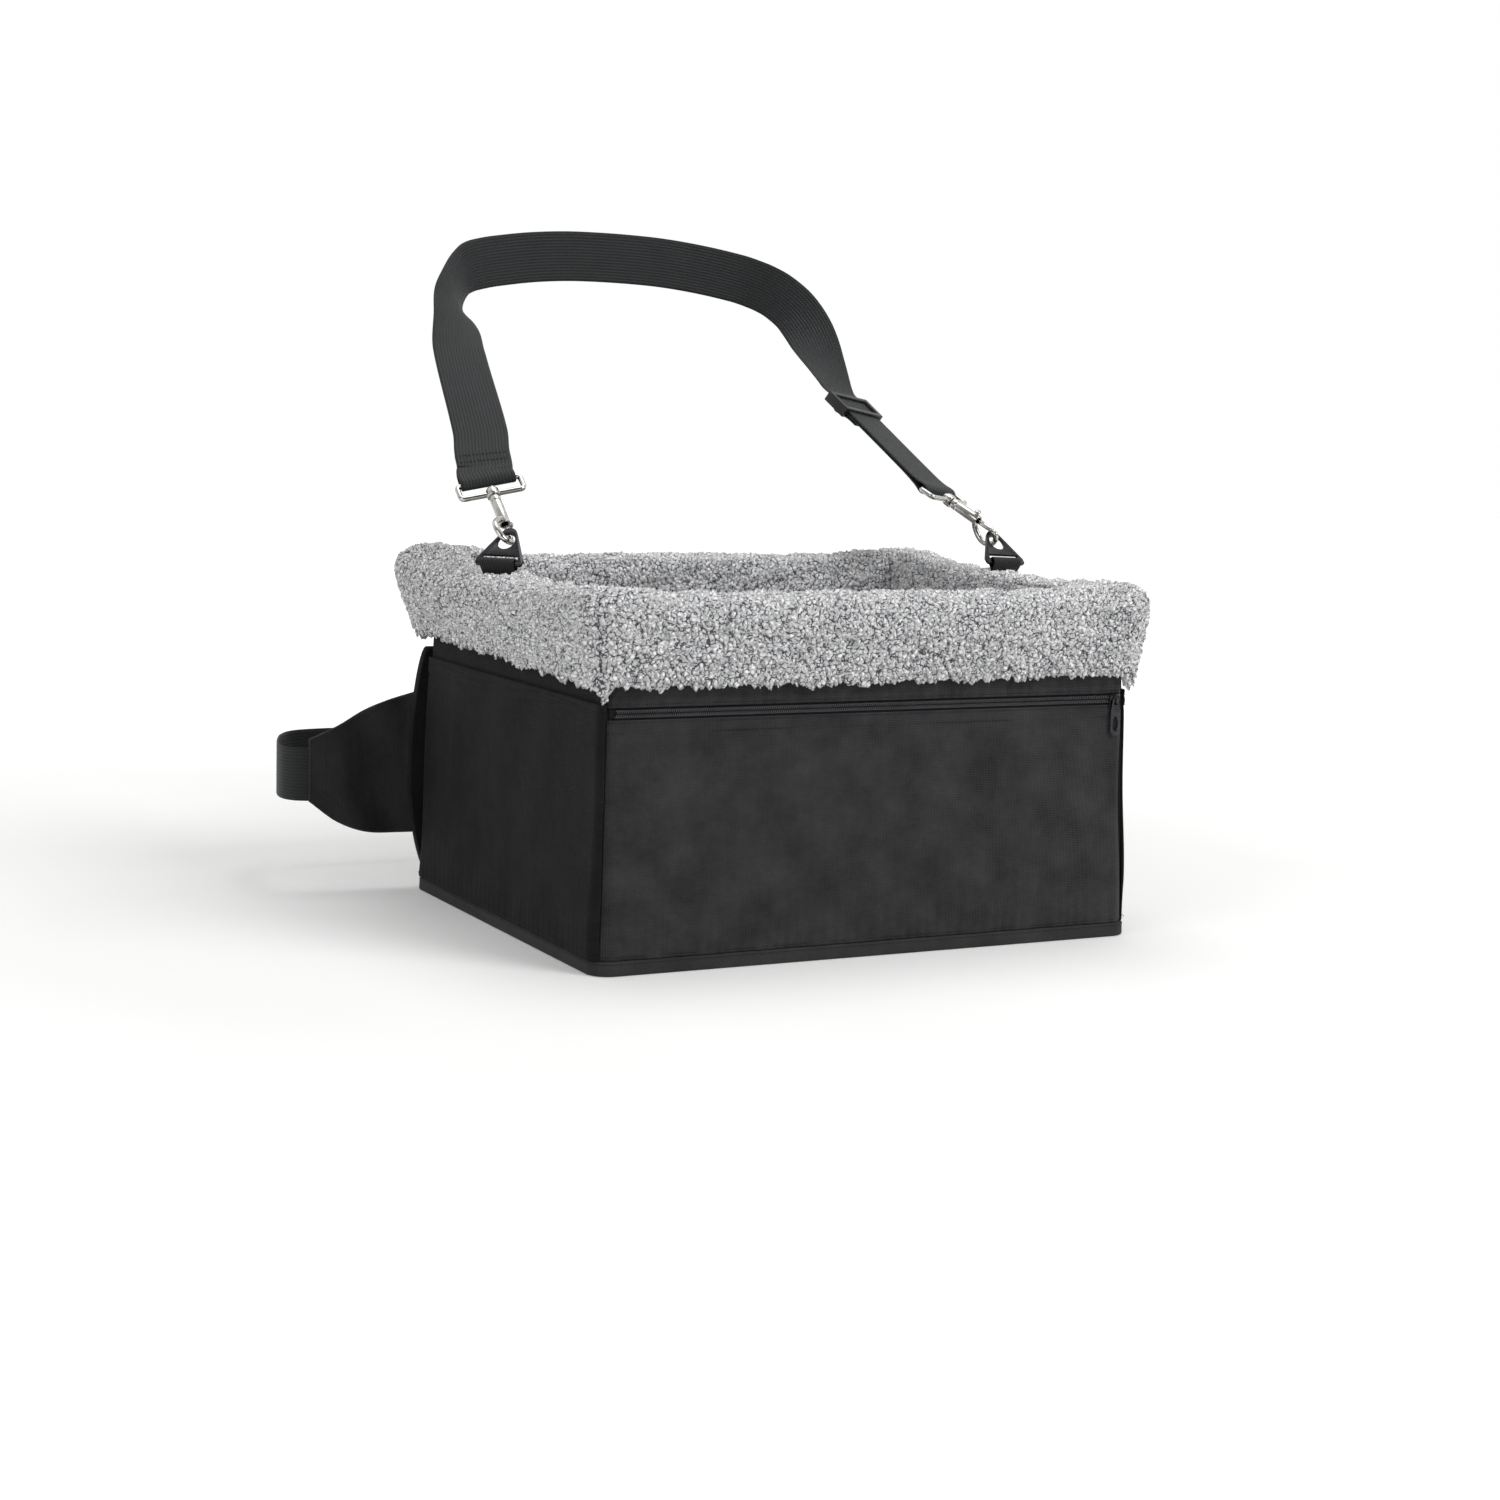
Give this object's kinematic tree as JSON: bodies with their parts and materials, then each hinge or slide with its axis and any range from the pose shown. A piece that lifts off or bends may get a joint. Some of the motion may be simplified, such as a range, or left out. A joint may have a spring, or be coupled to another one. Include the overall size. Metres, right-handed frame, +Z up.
{
  "type": "dog_booster_car_seat",
  "caption": "Black fabric booster seat for a small dog with a grey sherpa lining, a zipped front pocket, a headrest strap on snap hooks and a belt round the seat back",
  "frame": {"origin": "middle of the flat underside", "axes": "+Z up, -Y the zipped front, +Y the padded back that lies against the car seat, +X to the right of someone who faces the front"},
  "size_m": [0.6056, 0.4902, 0.507],
  "materials": {
    "oxford": "matt black oxford weave",
    "side_oxford": "matt black oxford weave, darker",
    "binding": "matt black binding tape",
    "fleece": "pale grey sherpa fleece in small clumps",
    "webbing": "charcoal nylon webbing with fine ribs along it",
    "nickel": "bright nickel plate",
    "black_nickel": "dark smoky nickel with bright edges",
    "plastic": "black moulded plastic",
    "board": "grey stiffener board, hidden",
    "zip_nylon": "black nylon coil on woven tape"
  },
  "bodies": {
    "seat_body": {"back_board": "board", "back_cuff": "fleece", "back_pad": "side_oxford", "back_panel": "side_oxford", "base_board": "board", "base_panel": "binding", "buckle_plug": "plastic", "buckle_socket": "plastic", "front_board": "board", "front_cuff": "fleece", "front_pocket_panel": "oxford", "front_top_band": "oxford", "front_wall": "oxford", "headrest_strap": "webbing", "left_belt": "webbing", "left_board": "board", "left_cuff": "fleece", "left_side_panel": "side_oxford", "left_side_pocket": "side_oxford", "left_tab": "webbing", "left_wing": "side_oxford", "liner_back": "fleece", "liner_floor": "fleece", "liner_front": "fleece", "liner_left": "fleece", "liner_right": "fleece", "right_belt": "webbing", "right_board": "board", "right_cuff": "fleece", "right_side_panel": "side_oxford", "right_side_pocket": "side_oxford", "right_tab": "webbing", "right_wing": "side_oxford", "strap_adjuster": "plastic", "zip_lower_tape": "zip_nylon", "zip_upper_tape": "zip_nylon"},
    "cushion": {"seat_cushion": "fleece"},
    "slider": {"zip_slider": "black_nickel"},
    "puller": {"zip_puller": "black_nickel"},
    "prong_upper": {"buckle_prong_upper": "plastic"},
    "prong_lower": {"buckle_prong_lower": "plastic"},
    "keeper": {"belt_keeper": "plastic"},
    "left_ring_body": {"left_ring": "black_nickel"},
    "left_eye_body": {"left_eye": "nickel"},
    "left_hook_body": {"left_hook": "nickel", "left_hook_spring": "nickel"},
    "left_bolt_body": {"left_bolt": "nickel"},
    "right_ring_body": {"right_ring": "black_nickel"},
    "right_eye_body": {"right_eye": "nickel"},
    "right_hook_body": {"right_hook": "nickel", "right_hook_spring": "nickel"},
    "right_bolt_body": {"right_bolt": "nickel"}
  },
  "joints": [
    {"name": "cushion_lift", "type": "slide", "parent": "seat_body", "child": "cushion", "axis": [0, 0, 1], "range_m": [0, 0.24]},
    {"name": "zip_slide", "type": "slide", "parent": "seat_body", "child": "slider", "axis": [-1, 0, 0], "range_m": [0, 0.37]},
    {"name": "zip_pull_hinge", "type": "hinge", "parent": "slider", "child": "puller", "pos_m": [0.19298, -0.1632, 0.1706], "axis": [-1, 0, 0], "range_deg": [0, 95]},
    {"name": "left_ring_hinge", "type": "hinge", "parent": "seat_body", "child": "left_ring_body", "pos_m": [-0.2085, 0.012, 0.2565], "axis": [0.6821, -0.7313, -0.0001], "range_deg": [-2.5, 0]},
    {"name": "left_eye_hinge", "type": "hinge", "parent": "seat_body", "child": "left_eye_body", "pos_m": [-0.1915, 0.0769, 0.31045], "axis": [0.9616, -0.1882, 0.1996], "range_deg": [-1, 0]},
    {"name": "left_hook_swivel", "type": "hinge", "parent": "left_eye_body", "child": "left_hook_body", "pos_m": [-0.19185, 0.06628, 0.30212], "axis": [0.026, 0.7867, 0.6168], "range_deg": [-2, 28]},
    {"name": "left_bolt_slide", "type": "slide", "parent": "left_hook_body", "child": "left_bolt_body", "axis": [0.026, 0.7867, 0.6168], "range_m": [0, 0.0085], "stiffness_N_per_m": 300, "springref_m": -0.004},
    {"name": "right_ring_hinge", "type": "hinge", "parent": "seat_body", "child": "right_ring_body", "pos_m": [0.2085, 0.012, 0.2565], "axis": [0.9964, 0.073, -0.0439], "range_deg": [-2.5, 0]},
    {"name": "right_eye_hinge", "type": "hinge", "parent": "seat_body", "child": "right_eye_body", "pos_m": [0.18728, 0.08024, 0.30682], "axis": [0.9122, 0.3888, -0.1291], "range_deg": [-1, 0]},
    {"name": "right_hook_swivel", "type": "hinge", "parent": "right_eye_body", "child": "right_hook_body", "pos_m": [0.19132, 0.0688, 0.30089], "axis": [-0.2991, 0.8474, 0.4387], "range_deg": [-10, 10]},
    {"name": "right_bolt_slide", "type": "slide", "parent": "right_hook_body", "child": "right_bolt_body", "axis": [-0.2991, 0.8474, 0.4387], "range_m": [0, 0.0085], "stiffness_N_per_m": 300, "springref_m": -0.004},
    {"name": "prong_upper_squeeze", "type": "hinge", "parent": "seat_body", "child": "prong_upper", "pos_m": [-0.0091, 0.30031, 0.104], "axis": [0, 1, 0], "range_deg": [0, 9.5], "stiffness_Nm_per_rad": 2.4, "springref_deg": -2.86},
    {"name": "prong_lower_squeeze", "type": "hinge", "parent": "seat_body", "child": "prong_lower", "pos_m": [-0.0091, 0.30031, 0.069], "axis": [0, -1, 0], "range_deg": [0, 9.5], "stiffness_Nm_per_rad": 2.4, "springref_deg": -2.86},
    {"name": "keeper_slide", "type": "slide", "parent": "seat_body", "child": "keeper", "axis": [1, 0, 0], "range_m": [-0.022, 0.055]}
  ],
  "couplings": [
    {"joint": "prong_lower_squeeze", "follows": "prong_upper_squeeze", "ratio": 1}
  ]
}
